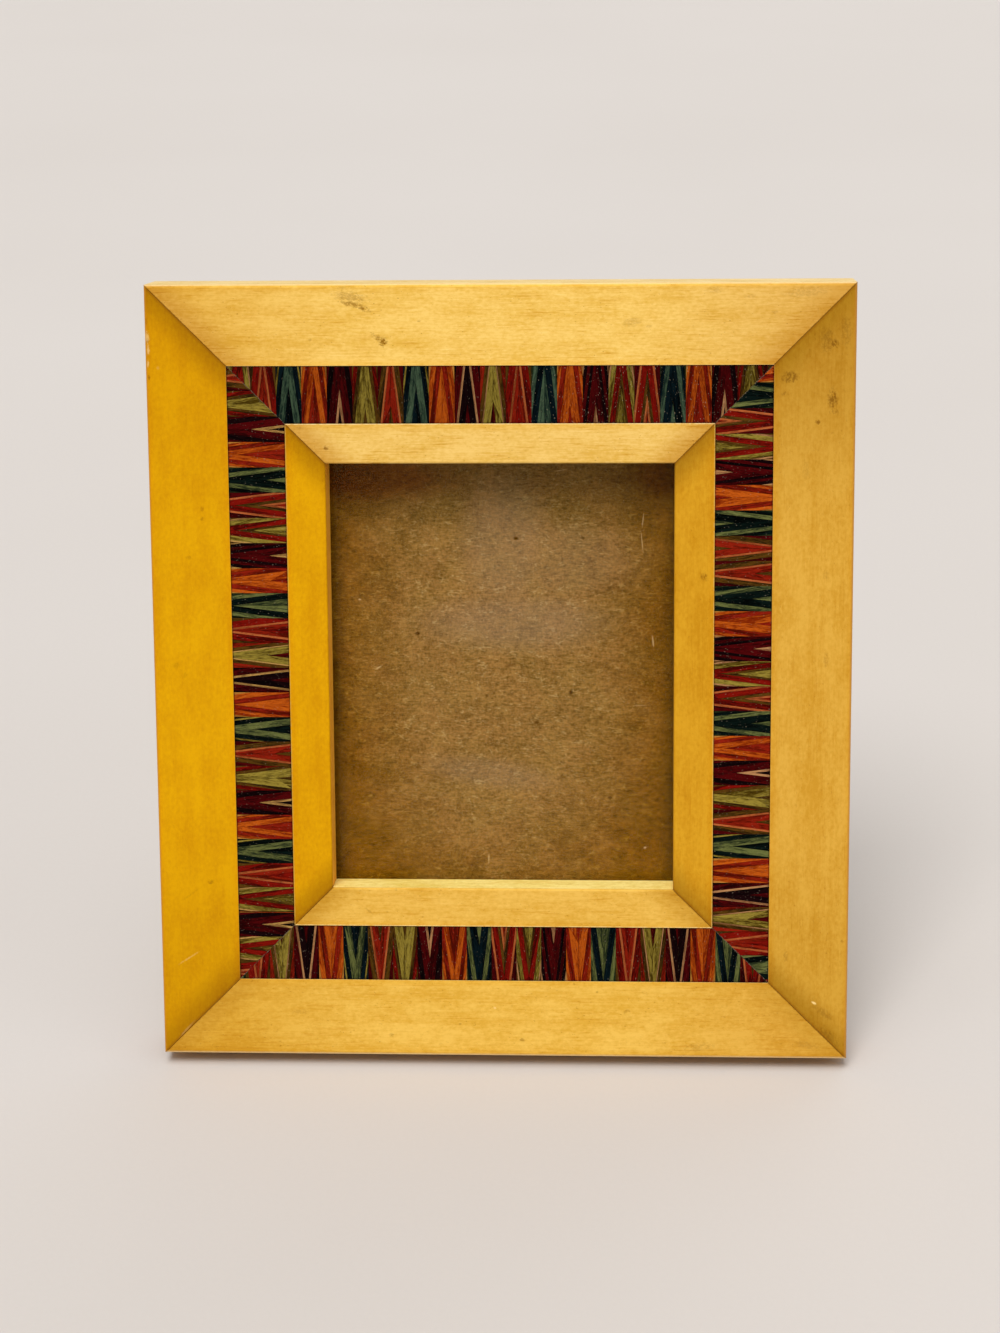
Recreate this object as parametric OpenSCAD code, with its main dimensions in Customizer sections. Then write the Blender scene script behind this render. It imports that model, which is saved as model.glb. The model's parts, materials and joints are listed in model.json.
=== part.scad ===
// Small wooden picture frame with a zigzag band of dyed veneers let into its face.
// It stands on an easel strut and leans back. Lengths are millimetres and angles are degrees.
//
// Pieces are drawn standing upright: X runs across the frame, Y from its face (0) to its back,
// Z up from its bottom edge. stand() then leans them back on the rear bottom edge, so that edge
// and the foot of the strut lie on Z = 0, and the origin is under the middle of the whole.
//
// Members and inlay bands are drawn in their own plan: x along the member, clockwise as seen
// from the front, y from its outer edge inwards, z from the face to the back.

/* [Frame] */
// Width across the outer edges
frame_w = 190.7; // [170:0.1:260]
// Height across the outer edges
frame_h = 214.5; // [195:0.1:320]
// Thickness of the moulding
stock_t = 19; // [17:0.5:26]
// Width of the plain strip outside the inlay
strip_w = 21.8; // [18:0.1:28]
// Width of the inlay groove
inlay_w = 15.6; // [11:0.1:20]
// Width of the plain lip inside the inlay
lip_w = 10.8; // [8:0.1:14]
// Depth of the inlay groove
groove_d = 2.2; // [2:0.1:3.5]
// Width of the rebate behind the lip
rebate_w = 4.8; // [3:0.1:6]
// Radius worn on the outer edges of the face
edge_r = 1; // [0.3:0.1:2]
// Radius worn on the sight edges
sight_r = 0.6; // [0.2:0.1:1.2]
// Width of the glue line in each mitre
mitre_line = 0.1; // [0.02:0.02:0.3]
// Angle that the standing frame leans back
lean = 12; // [11:0.5:14]

/* [Inlay] */
// Thickness of the veneer slices
veneer_t = 2; // [1:0.1:2]
// Length of one colour unit, which is two mirrored half strips
unit_len = 6.89; // [5:0.01:9]
// Distance that a veneer runs sideways across the band
slant = 1.95; // [1:0.05:2.4]
// Width of the glue line between veneers
glue_line = 0.04; // [0.02:0.01:0.1]
// First orange unit from the start of the top band
top_orange = 23.7; // [0:0.1:34]
// First orange unit from the start of the bottom band
bottom_orange = 18.1; // [0:0.1:34]
// Length of the first strip of the left band, whose colours run the other way
left_joint = 19.3; // [10:0.1:40]
// Orange unit of the first strip of the left band, back from its end
left_first_orange = 31.2; // [0:0.1:34]
// Orange unit of the second strip of the left band, on from its start
left_second_orange = 24.3; // [0:0.1:34]
// Length of the first strip of the right band, which is laid the other way round
right_joint = 52.9; // [40:0.1:80]
// Orange unit of the first strip of the right band, back from its end
right_first_orange = 17.2; // [0:0.1:34]
// Orange unit of the second strip of the right band, on from its start
right_second_orange = 17.2; // [0:0.1:34]

/* [Glass and boards] */
// Thickness of the glass
glass_t = 2; // [1.6:0.1:3]
// Thickness of the brown board behind the glass
filler_t = 3.2; // [1.5:0.1:4]
// Thickness of the back board
back_t = 3.5; // [2:0.1:4]
// Gap round the glass and the boards
glazing_gap = 0.7; // [0.3:0.1:0.9]
// Gap between the glass and the brown board, and between the two boards
sheet_gap = 0.1; // [0.05:0.05:0.3]

/* [Corner wedges] */
// Length of each leg of a wedge
wedge_leg = 6; // [4:0.5:8]
// Thickness of the wedge strip
wedge_t = 0.5; // [0.3:0.1:0.8]
// Length of a wedge into the wood
wedge_len = 9; // [6:0.5:10]
// Depth that a wedge is driven below the back
wedge_set = 0.4; // [0.1:0.1:1]
// Places of the wedges along a corner, in from both outer edges
wedge_at = [12, 28];

/* [Turn-buttons] */
// Width of a turn-button
button_w = 8; // [6:0.5:10]
// Length of a turn-button from its screw to the end of its straight part
button_reach = 12; // [9:0.5:14]
// Thickness of a turn-button
button_t = 1.2; // [0.8:0.1:2]
// Gap under a turn-button, and under the head of its screw
button_gap = 0.3; // [0.2:0.05:0.5]
// Distance of its screw from the rebate
button_inset = 5; // [4.5:0.5:8]
// Height between the upper and the lower turn-buttons
button_spread = 84; // [60:1:110]
// Diameter of the screw
screw_d = 2; // [1.6:0.1:2.6]
// Length of the screw in the wood
screw_len = 8; // [5:0.5:12]
// Diameter of the screw head
screw_head_d = 5; // [4:0.1:6]
// Height of the screw head
screw_head_h = 1.5; // [1:0.1:2.4]

/* [Easel strut] */
// Angle between the open strut and the back
strut_open = 20; // [17:0.5:21]
// Distance of the hinge pin below the top edge of the back board
hinge_drop = 20.4; // [16:0.1:50]
// Width of the strut at the hinge
strut_top_w = 30; // [26:1:40]
// Width of the strut at the foot
strut_foot_w = 42; // [30:1:60]
// Thickness of the strut
strut_t = 3; // [2.5:0.1:3.3]

/* [Hinge] */
// Width of the hinge
hinge_w = 28; // [24:0.5:30]
// Height of each leaf from the pin
leaf_h = 16; // [14:0.5:20]
// Thickness of the leaves
leaf_t = 0.8; // [0.6:0.1:1]
// Outer radius of the knuckles
knuckle_r = 2; // [1.8:0.1:2.4]
// Length of the middle knuckle
knuckle_len = 12; // [9:0.5:13]
// Diameter of the hinge pin
pin_d = 2; // [1.6:0.1:2.2]
// Clearance round the pin
pin_clear = 0.08; // [0.02:0.01:0.1]
// Gap between pieces that move past each other
move_gap = 0.3; // [0.3:0.05:0.5]
// Height of the stop tab above the pin
tab_h = 7; // [5:0.5:9]
// Diameter of the rivets
rivet_d = 2.5; // [2:0.1:3]
// Diameter of the rivet heads
rivet_head_d = 5; // [4:0.1:6]
// Height of the rivet heads
rivet_head_h = 1; // [0.6:0.1:1.5]
// Distance between the two rivets of a leaf
rivet_span = 18; // [16.5:0.5:20]
// Distance of the rivets from the pin
rivet_up = 10; // [8:0.5:12]

/* [Hanger] */
// Length of the saw-tooth hanger
hanger_len = 40; // [34:1:50]
// Height of the hanger
hanger_h = 9; // [8:0.5:12]
// Thickness of the hanger plate
hanger_t = 0.7; // [0.5:0.1:1]
// Space behind the raised middle for the head of a wall nail
hanger_lift = 1.8; // [1:0.1:3]
// Length of each flat end
hanger_end = 7; // [6:0.5:9]
// Distance of the hanger's middle below the top edge
hanger_drop = 13; // [10:0.5:20]
// Spacing of the teeth
tooth_pitch = 2.5; // [2:0.1:3]
// Depth of the teeth
tooth_d = 1.4; // [1:0.1:2]
// Diameter of the nails
nail_d = 1.4; // [1:0.1:1.8]
// Length of the nails in the wood
nail_len = 9; // [6:0.5:12]
// Diameter of the nail heads
nail_head_d = 3; // [2.5:0.1:4]
// Height of the nail heads
nail_head_h = 0.6; // [0.4:0.1:1]

/* [Hidden] */
$fn = 48;
// Overrun of a cut past the face that it opens
cut = 1;
// Width of one member, and the sizes of the sight opening
member_w = strip_w + inlay_w + lip_w;
sight_w = frame_w - 2 * member_w;
sight_h = frame_h - 2 * member_w;
// Depth of the shoulder that the glass lies against: the pack behind it comes flush with the back
shoulder_d = stock_t - glass_t - filler_t - back_t - 2 * sheet_gap;
// Size of the glass and the boards
pane_w = sight_w + 2 * rebate_w - 2 * glazing_gap;
pane_h = sight_h + 2 * rebate_w - 2 * glazing_gap;
// The hinge pin: height and depth of its axis, and where that axis lies once the frame leans
hinge_z = (frame_h + pane_h) / 2 - hinge_drop;
pin_y = stock_t + move_gap + knuckle_r;
pin_up = hinge_z * cos(lean) - (pin_y - stock_t) * sin(lean);
pin_back = hinge_z * sin(lean) + (pin_y - stock_t) * cos(lean);
// The strut: its faces beside the pin when folded, and the end that keeps clear of the barrel
strut_rear = knuckle_r - leaf_t;
strut_end = knuckle_r + 2 * move_gap;
// The strut from the upright once it is open, and the height of its foot when folded
strut_rake = strut_open - lean;
foot_z = hinge_z - (pin_up + strut_rear * sin(strut_rake)) / cos(strut_rake);
// Front and rear reach of the whole, which centre it over the origin
front_y = (edge_r - stock_t) * cos(lean) + edge_r * sin(lean) - edge_r;
rear_y = pin_back + strut_rear * cos(strut_rake)
    + (pin_up + strut_rear * sin(strut_rake)) * tan(strut_rake);
stand_y = -(front_y + rear_y) / 2;
// Places of the turn-button screws, and of the hanger nails
button_x = sight_w / 2 + rebate_w + button_inset;
nail_x = (hanger_len - hanger_end) / 2;
// Clearance round rivets, screws and nails in their holes
rivet_gap = 0.05;
// Screw heads: shares of the head's diameter in the width of the slot and of the flat top
slot_share = 1 / 6;
flat_share = 0.7;

// Sides of the frame, clockwise. A band is as long as the outer edge of its groove.
SIDES = ["top", "right", "bottom", "left"];
// Half of a colour unit, and the depth of the veneers' faces below the face of the wood
half_len = unit_len / 2;
veneer_y = groove_d - veneer_t;
// Smallest piece of veneer worth keeping at a mitre, in square millimetres
least_area = 0.08;

// The dyes of the veneers
ORANGE = 0;
SCARLET = 1;
CRIMSON = 2;
MAROON = 3;
BLACK = 4;
SAGE = 5;
OLIVE = 6;
UMBER = 7;
TAN = 8;
DYES = [
    ["orange", "#BE5A18"],
    ["scarlet", "#941E08"],
    ["crimson", "#7E060A"],
    ["maroon", "#420A0C"],
    ["black", "#0A0A10"],
    ["sage", "#4C6C4C"],
    ["olive", "#807C2C"],
    ["umber", "#5A4012"],
    ["tan", "#B48A58"]
];
// How the half strips are laminated. Each colour unit comes in three makes, used in turn, and each
// make lists its veneers outwards from the middle of the unit: the dye, and where it ends as a
// share of the half.
UNITS = [
    // sage
    [[[SAGE, 0.36], [BLACK, 0.66], [SAGE, 0.87], [UMBER, 1]],
     [[BLACK, 0.24], [SAGE, 0.56], [BLACK, 0.8], [OLIVE, 0.89], [BLACK, 1]],
     [[SAGE, 0.13], [BLACK, 0.5], [SAGE, 0.72], [BLACK, 0.89], [UMBER, 1]]],
    // orange
    [[[SCARLET, 0.3], [ORANGE, 0.56], [SCARLET, 0.77], [ORANGE, 0.9], [TAN, 1]],
     [[SCARLET, 0.11], [ORANGE, 0.51], [SCARLET, 0.76], [ORANGE, 0.92], [TAN, 1]],
     [[ORANGE, 0.37], [SCARLET, 0.62], [ORANGE, 0.88], [TAN, 1]]],
    // maroon
    [[[MAROON, 0.13], [BLACK, 0.45], [TAN, 0.56], [MAROON, 0.88], [BLACK, 1]],
     [[BLACK, 0.1], [TAN, 0.22], [MAROON, 0.6], [BLACK, 0.85], [MAROON, 1]],
     [[TAN, 0.12], [MAROON, 0.46], [BLACK, 0.6], [MAROON, 0.76], [BLACK, 0.92], [TAN, 1]]],
    // olive
    [[[OLIVE, 0.22], [UMBER, 0.33], [CRIMSON, 0.6], [OLIVE, 0.84], [TAN, 0.92], [UMBER, 1]],
     [[MAROON, 0.14], [OLIVE, 0.5], [TAN, 0.56], [UMBER, 0.74], [SCARLET, 1]],
     [[UMBER, 0.1], [OLIVE, 0.54], [UMBER, 0.7], [CRIMSON, 0.9], [UMBER, 1]]],
    // scarlet
    [[[UMBER, 0.11], [SCARLET, 0.43], [ORANGE, 0.53], [UMBER, 0.78], [MAROON, 1]],
     [[SCARLET, 0.08], [ORANGE, 0.18], [UMBER, 0.33], [CRIMSON, 0.61], [ORANGE, 0.72], [MAROON, 1]],
     [[CRIMSON, 0.18], [SCARLET, 0.38], [ORANGE, 0.49], [CRIMSON, 0.82], [UMBER, 1]]]
];
ORANGE_UNIT = 1;

// The strips of each band: side, start and end along the band, place of an orange unit, order of
// the colours (1, or -1 when turned end for end), and whether the points face the outer edge
STRIPS = [
    [0, 0, band_len(0), top_orange, 1, true],
    [1, 0, right_joint, right_joint - right_first_orange, -1, true],
    [1, right_joint, band_len(1), right_joint + right_second_orange, 1, false],
    [2, 0, band_len(2), bottom_orange, 1, true],
    [3, 0, left_joint, left_joint - left_first_orange, -1, true],
    [3, left_joint, band_len(3), left_joint + left_second_orange, 1, true]
];

BUTTONS = ["upper_left", "upper_right", "lower_left", "lower_right"];

// Length of a member along its outer edge, and distance across to the opposite outer edge
function member_len(side) = side % 2 == 0 ? frame_w : frame_h;
function member_span(side) = side % 2 == 0 ? frame_h : frame_w;
function band_len(side) = member_len(side) - 2 * strip_w;

// Part of a convex outline where a*x + b*y <= c
function cut_line(outline, a, b, c) = [
    for (i = [0 : 1 : len(outline) - 1])
        let (
            p = outline[i],
            q = outline[(i + 1) % len(outline)],
            dp = a * p[0] + b * p[1] - c,
            dq = a * q[0] + b * q[1] - c
        )
        each concat(
            dp <= 0 ? [p] : [],
            dp * dq < 0 ? [p + (q - p) * dp / (dp - dq)] : []
        )
];
function twice_area(outline) = len(outline) < 3 ? 0 : abs(sum([
    for (i = [0 : 1 : len(outline) - 1])
        let (p = outline[i], q = outline[(i + 1) % len(outline)]) p[0] * q[1] - q[0] * p[1]
]));
function sum(values) = [for (v = values) 1] * values;

// One veneer of a half strip, from the middle of its unit outwards. low and high are its edges
// along the band at the points' side; every veneer runs outwards by the slant across the band.
function half_veneer(low, high) =
    let (
        g = glue_line / 2,
        ends = [g, inlay_w - g],
        lean_in = [slant * ends[0] / inlay_w, slant * ends[1] / inlay_w],
        slanted = [
            [low + g + lean_in[0], ends[0]], [high - g + lean_in[0], ends[0]],
            [high - g + lean_in[1], ends[1]], [low + g + lean_in[1], ends[1]]
        ]
    )
    cut_line(cut_line(slanted, -1, 0, -g), 1, 0, half_len - g);

// A half veneer laid in its band and trimmed by the strip's ends and the mitres
function laid_veneer(outline, middle, way, points_out, strip) =
    let (
        g = glue_line / 2,
        placed = [
            for (p = outline) [middle + way * p[0], points_out ? p[1] : inlay_w - p[1]]
        ],
        between = cut_line(cut_line(placed, -1, 0, -strip[1]), 1, 0, strip[2]),
        start_cut = cut_line(between, -1, 1, -g - mitre_line / 2)
    )
    cut_line(start_cut, 1, 1, band_len(strip[0]) - g - mitre_line / 2);

// All veneers of one dye in one strip
function strip_veneers(strip, dye) = [
    for (
        i = [floor((strip[1] - strip[3]) / unit_len) : ceil((strip[2] - strip[3]) / unit_len)]
    )
        let (
            kind = (((ORANGE_UNIT + strip[4] * i) % len(UNITS)) + len(UNITS)) % len(UNITS),
            make = UNITS[kind][(strip[0] + abs(i)) % len(UNITS[kind])]
        )
        for (j = [0 : len(make) - 1])
            if (make[j][0] == dye)
                let (
                    whole = half_len + slant,
                    low = (j == 0 ? 0 : make[j - 1][1]) * whole - slant,
                    high = make[j][1] * whole - slant,
                    outline = half_veneer(low, high)
                )
                for (way = [-1, 1])
                    laid_veneer(outline, strip[3] + i * unit_len, way, strip[5], strip)
];

// Leans the upright frame back on its rear bottom edge and centres it over the origin
module stand() {
    translate([0, stand_y, 0]) rotate([-lean, 0, 0]) translate([0, -stock_t, 0]) children();
}

// Swings the folded strut open about the hinge pin
module opened() {
    translate([0, pin_y, hinge_z]) rotate([strut_open, 0, 0]) translate([0, -pin_y, -hinge_z])
        children();
}

// Lays a member or band, drawn in its own plan, on one side of the frame. inset is the distance
// of its outer edge from the outer edge of the frame.
module on_side(side, inset = 0) {
    translate([0, 0, frame_h / 2])
        rotate([0, 90 * side, 0])
            translate([inset - member_len(side) / 2, 0, member_span(side) / 2 - inset])
                rotate([-90, 0, 0])
                    children();
}

// Repeats a piece drawn at the bottom left corner at all four corners
module at_corners() {
    for (flip_x = [0, 1], flip_z = [0, 1])
        translate([0, 0, frame_h / 2])
            mirror([flip_x, 0, 0])
                mirror([0, 0, flip_z])
                    translate([-frame_w / 2, 0, -frame_h / 2])
                        children();
}

// Repeats a piece drawn on the Z axis at the left and the right
module left_and_right(x) {
    for (side = [-1, 1]) translate([side * x, 0, 0]) children();
}

// A round bar along Y, from front to back
module bar_y(r, front, back) {
    translate([0, front, 0]) rotate([-90, 0, 0]) cylinder(r = r, h = back - front);
}

// What a worn edge of radius r takes off a corner at the origin
module worn_corner(r) {
    difference() {
        translate([-cut, -cut]) square(r + cut);
        translate([r, r]) circle(r);
    }
}

// Section of the moulding: across it, and from the face to the back
module section() {
    difference() {
        square([member_w, stock_t]);
        translate([strip_w, -cut]) square([inlay_w, groove_d + cut]);
        translate([member_w - rebate_w, shoulder_d])
            square([rebate_w + cut, stock_t - shoulder_d + cut]);
        worn_corner(edge_r);
        translate([member_w, 0]) mirror([1, 0]) worn_corner(sight_r);
    }
}

// One mitred member, with the slots of its corner wedges
module member(side) {
    len = member_len(side);
    half_line = mitre_line / sqrt(2);
    difference() {
        on_side(side) intersection() {
            rotate([90, 0, 90]) linear_extrude(len) section();
            linear_extrude(stock_t) polygon([
                [half_line, 0], [len - half_line, 0],
                [len - half_line - member_w, member_w], [half_line + member_w, member_w]
            ]);
        }
        wedges(cut + wedge_set);
    }
}

// The corner wedges, longer towards the back by extra
module wedges(extra = 0) {
    deep = stock_t - wedge_set - wedge_len;
    at_corners() for (at = wedge_at) translate([at, deep, at]) {
        cube([wedge_leg, wedge_len + extra, wedge_t]);
        cube([wedge_t, wedge_len + extra, wedge_leg]);
    }
}

module corner_wedges() {
    color("#9A9CA0") stand() wedges();
}

// The members. Two rails lie across; two stiles stand and carry the turn-buttons.
module top_rail() {
    color("#EDBF5C") stand() difference() {
        member(0);
        at_hanger() left_and_right(nail_x)
            bar_y(nail_d / 2 + rivet_gap, stock_t - nail_len - cut, stock_t + cut);
    }
}

module bottom_rail() {
    color("#E0A83C") stand() member(2);
}

module stile(side) {
    difference() {
        member(side);
        at_buttons(side == 1 ? 1 : -1)
            bar_y(screw_d / 2 + rivet_gap, stock_t - screw_len - cut, stock_t + cut);
    }
}

module left_stile() {
    color("#D69C16") stand() stile(3);
}

module right_stile() {
    color("#CF9A34") stand() stile(1);
}

// All veneers of one dye in the band of one side, glued to the floor of the groove
module inlay(side, dye) {
    color(DYES[dye][1]) stand()
        on_side(side, strip_w) translate([0, 0, veneer_y]) linear_extrude(veneer_t)
            for (strip = STRIPS)
                if (strip[0] == side)
                    for (outline = strip_veneers(strip, dye))
                        if (twice_area(outline) > 2 * least_area) polygon(outline);
}

// A sheet that fills the rebate, from one depth to another
module pane(front, thickness) {
    translate([-pane_w / 2, front, (frame_h - pane_h) / 2]) cube([pane_w, thickness, pane_h]);
}

module glass() {
    color("#DCE6E4", 0.3) stand() pane(shoulder_d, glass_t);
}

module filler_board() {
    color("#7C5C30") stand() pane(shoulder_d + glass_t + sheet_gap, filler_t);
}

module back_board() {
    color("#6B4A2A") stand() difference() {
        pane(stock_t - back_t, back_t);
        translate([0, 0, hinge_z + rivet_up]) left_and_right(rivet_span / 2)
            bar_y(rivet_d / 2 + rivet_gap, stock_t - back_t - cut, stock_t + cut);
    }
}

// Places of the two turn-buttons of one side, -1 for the left and 1 for the right
module at_buttons(side) {
    for (up = [-1, 1]) at_button(side, up) children();
}

module at_button(side, up) {
    translate([side * button_x, 0, frame_h / 2 + up * button_spread / 2]) children();
}

// A turn-button, closed over the back board: it points from its screw towards the middle
module turn_button(side, up) {
    low = stock_t + button_gap;
    color("#B9A15A") stand() at_button(side, up)
        translate([0, low, 0]) rotate([-90, 0, 0]) linear_extrude(button_t) difference() {
            union() {
                circle(d = button_w);
                translate([-side * button_reach, 0]) circle(d = button_w);
                translate([side > 0 ? -button_reach : 0, -button_w / 2])
                    square([button_reach, button_w]);
            }
            circle(r = screw_d / 2 + pin_clear);
        }
}

// A slotted pan-head screw that leaves its turn-button free to turn
module screw() {
    head = stock_t + 2 * button_gap + button_t;
    slot_w = screw_head_d * slot_share;
    flat_d = screw_head_d * flat_share;
    difference() {
        union() {
            bar_y(screw_d / 2, stock_t - screw_len, head + screw_head_h / 2);
            bar_y(screw_head_d / 2, head, head + screw_head_h / 2);
            translate([0, head + screw_head_h / 2, 0]) rotate([-90, 0, 0])
                cylinder(d1 = screw_head_d, d2 = flat_d, h = screw_head_h / 2);
        }
        translate([-screw_head_d, head + screw_head_h / 2, -slot_w / 2])
            cube([2 * screw_head_d, screw_head_h, slot_w]);
    }
}

module turn_button_screws() {
    color("#C8B06A") stand() for (side = [-1, 1]) at_buttons(side) screw();
}

// The plate of a hinge leaf, from its front face backwards and from one height to another
module leaf_plate(front, low, high) {
    translate([-hinge_w / 2, front, low]) cube([hinge_w, leaf_t, high - low]);
}

module knuckle(from, to) {
    translate([from, pin_y, hinge_z]) rotate([0, 90, 0]) cylinder(r = knuckle_r, h = to - from);
}

module pin_bore() {
    translate([-hinge_w, pin_y, hinge_z]) rotate([0, 90, 0])
        cylinder(r = pin_d / 2 + pin_clear, h = 2 * hinge_w);
}

// Rivet holes of a leaf or of what it is riveted to
module rivet_holes(z, front, back) {
    translate([0, 0, z]) left_and_right(rivet_span / 2)
        bar_y(rivet_d / 2 + rivet_gap, front - cut, back + cut);
}

// A pair of rivets: heads on the leaf's outer face, tails flush with the inner face they hold
module rivets(z, front, leaf_face) {
    translate([0, 0, z]) left_and_right(rivet_span / 2) {
        bar_y(rivet_d / 2, front, leaf_face);
        bar_y(rivet_head_d / 2, leaf_face, leaf_face + rivet_head_h / 2);
        translate([0, leaf_face + rivet_head_h / 2, 0]) rotate([-90, 0, 0])
            cylinder(d1 = rivet_head_d, d2 = rivet_head_d / 2, h = rivet_head_h / 2);
    }
}

// Leaf on the back board, with the two outer knuckles
module hinge_leaf_back() {
    clear = knuckle_r + move_gap;
    inner = knuckle_len / 2 + move_gap;
    color("#8C8E90") stand() difference() {
        union() {
            leaf_plate(stock_t, hinge_z, hinge_z + leaf_h);
            knuckle(-hinge_w / 2, -inner);
            knuckle(inner, hinge_w / 2);
        }
        translate([-inner, stock_t - cut, hinge_z - cut])
            cube([2 * inner, leaf_t + 2 * cut, clear + cut]);
        pin_bore();
        rivet_holes(hinge_z + rivet_up, stock_t, stock_t + leaf_t);
    }
}

// Leaf on the strut, with the middle knuckle. Its tab meets the other leaf when the strut is open.
module hinge_leaf_strut() {
    face = pin_y + strut_rear;
    clear = knuckle_r + move_gap;
    inner = knuckle_len / 2;
    color("#8C8E90") stand() difference() {
        union() {
            opened() difference() {
                union() {
                    leaf_plate(face, hinge_z - leaf_h, hinge_z);
                    knuckle(-inner, inner);
                }
                left_and_right(hinge_w / 2 + inner)
                    translate([-hinge_w / 2, face - cut, hinge_z - clear])
                        cube([hinge_w, leaf_t + 2 * cut, clear + cut]);
                rivet_holes(hinge_z - rivet_up, face, face + leaf_t);
            }
            translate([-inner, stock_t + leaf_t + move_gap, hinge_z])
                cube([2 * inner, leaf_t, tab_h]);
        }
        pin_bore();
    }
}

module hinge_pin() {
    color("#B8BABC") stand() translate([-hinge_w / 2, pin_y, hinge_z]) rotate([0, 90, 0])
        cylinder(d = pin_d, h = hinge_w);
}

module back_rivets() {
    color("#A8AAAC") stand() rivets(hinge_z + rivet_up, stock_t - back_t, stock_t + leaf_t);
}

module strut_rivets() {
    front = pin_y + strut_rear - strut_t;
    color("#A8AAAC") stand() opened()
        rivets(hinge_z - rivet_up, front, front + strut_t + leaf_t);
}

// The strut, cut off flat where it meets the surface that the frame stands on. Its outline runs
// straight on below the foot, by its own thickness, to give that cut something to take off.
module strut() {
    front = pin_y + strut_rear - strut_t;
    top = hinge_z - strut_end;
    color("#5C4228") difference() {
        stand() opened() difference() {
            translate([0, front + strut_t, 0]) rotate([90, 0, 0]) linear_extrude(strut_t)
                polygon([
                    [-strut_top_w / 2, top], [strut_top_w / 2, top],
                    [strut_foot_w / 2, foot_z], [strut_foot_w / 2, foot_z - strut_t],
                    [-strut_foot_w / 2, foot_z - strut_t], [-strut_foot_w / 2, foot_z]
                ]);
            rivet_holes(hinge_z - rivet_up, front, front + strut_t);
        }
        translate([-strut_foot_w, -frame_h, -frame_h])
            cube([2 * strut_foot_w, 2 * frame_h, frame_h]);
    }
}

// The middle of the hanger on the back of the top rail
module at_hanger() {
    translate([0, 0, frame_h - hanger_drop]) children();
}

// Saw-tooth hanger: flat ends, and a raised middle with teeth along its lower edge
module hanger() {
    flat = hanger_len / 2 - hanger_end;
    rise = hanger_lift;
    teeth = floor((2 * (flat - rise)) / tooth_pitch);
    half_run = teeth * tooth_pitch / 2;
    color("#A0A2A4") stand() at_hanger() difference() {
        translate([0, stock_t, -hanger_h / 2]) linear_extrude(hanger_h) polygon([
            [-hanger_len / 2, 0], [-flat, 0], [-flat + rise, rise], [flat - rise, rise],
            [flat, 0], [hanger_len / 2, 0], [hanger_len / 2, hanger_t],
            [flat, hanger_t], [flat - rise, rise + hanger_t],
            [-flat + rise, rise + hanger_t], [-flat, hanger_t], [-hanger_len / 2, hanger_t]
        ]);
        translate([0, stock_t + rise + hanger_t + cut, -hanger_h / 2]) rotate([90, 0, 0])
            linear_extrude(hanger_t + 2 * cut)
                for (i = [0 : teeth - 1])
                    translate([-half_run + i * tooth_pitch, 0]) polygon([
                        [0, -cut], [tooth_pitch, -cut], [tooth_pitch / 2, tooth_d]
                    ]);
        left_and_right(nail_x) bar_y(nail_d / 2 + rivet_gap, stock_t - cut, stock_t + 2 * cut);
    }
}

module hanger_nails() {
    face = stock_t + hanger_t;
    color("#B0B2B4") stand() at_hanger() left_and_right(nail_x) {
        bar_y(nail_d / 2, stock_t - nail_len, face);
        bar_y(nail_head_d / 2, face, face + nail_head_h);
    }
}

top_rail();
right_stile();
bottom_rail();
left_stile();
corner_wedges();
for (side = [0 : 3], dye = [0 : len(DYES) - 1])
    inlay(side, dye);
glass();
filler_board();
back_board();
turn_button(-1, 1);  // upper_left_turn_button
turn_button(1, 1);  // upper_right_turn_button
turn_button(-1, -1);  // lower_left_turn_button
turn_button(1, -1);  // lower_right_turn_button
turn_button_screws();
strut();
hinge_leaf_back();
hinge_leaf_strut();
hinge_pin();
back_rivets();
strut_rivets();
hanger();
hanger_nails();
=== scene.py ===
# %% [markdown]
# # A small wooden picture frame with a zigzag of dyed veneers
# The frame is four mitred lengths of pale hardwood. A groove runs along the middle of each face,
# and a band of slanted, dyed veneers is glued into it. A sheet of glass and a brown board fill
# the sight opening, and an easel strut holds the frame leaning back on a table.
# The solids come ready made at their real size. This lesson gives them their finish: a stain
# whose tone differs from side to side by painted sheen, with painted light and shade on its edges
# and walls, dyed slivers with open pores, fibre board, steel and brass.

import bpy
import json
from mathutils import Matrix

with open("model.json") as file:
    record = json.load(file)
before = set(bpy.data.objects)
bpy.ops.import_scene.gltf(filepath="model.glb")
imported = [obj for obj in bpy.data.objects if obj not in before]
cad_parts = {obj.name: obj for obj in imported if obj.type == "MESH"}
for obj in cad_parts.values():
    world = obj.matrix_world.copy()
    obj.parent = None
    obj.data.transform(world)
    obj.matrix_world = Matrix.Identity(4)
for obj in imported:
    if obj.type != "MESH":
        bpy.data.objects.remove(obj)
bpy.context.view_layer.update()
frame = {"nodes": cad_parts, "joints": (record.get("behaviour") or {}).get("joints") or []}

# %% [markdown]
# ## Measures that stand upright
# The frame leans back, so the room's axes cut across its grain. Every finish here is laid out in
# the frame's own upright measure instead: millimetres across from the middle, back from the face
# and up from the bottom edge. The lean could be typed in, but the turn-buttons turn about an
# axis square to the face, so their joint already holds it. Turning the corners of the four
# members by that angle gives the rest of the sizes.

# %% Upright measure
import json
import math

import bpy
from mathutils import Euler, Matrix, Vector

MM = 0.001
MEMBERS = ("top_rail", "right_stile", "bottom_rail", "left_stile")

square_to_face = next(j["axis"] for j in frame["joints"] if j["name"].endswith("button_turn"))
LEAN = math.atan2(-square_to_face[2], square_to_face[1])
TO_UPRIGHT = Matrix.Rotation(LEAN, 4, "X")


def upright_box(*names):
    """Lowest and highest corner of some nodes, turned upright, in metres."""
    corners = [TO_UPRIGHT @ v.co for name in names for v in frame["nodes"][name].data.vertices]
    low = Vector([min(c[axis] for c in corners) for axis in range(3)])
    high = Vector([max(c[axis] for c in corners) for axis in range(3)])
    return low, high


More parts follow.
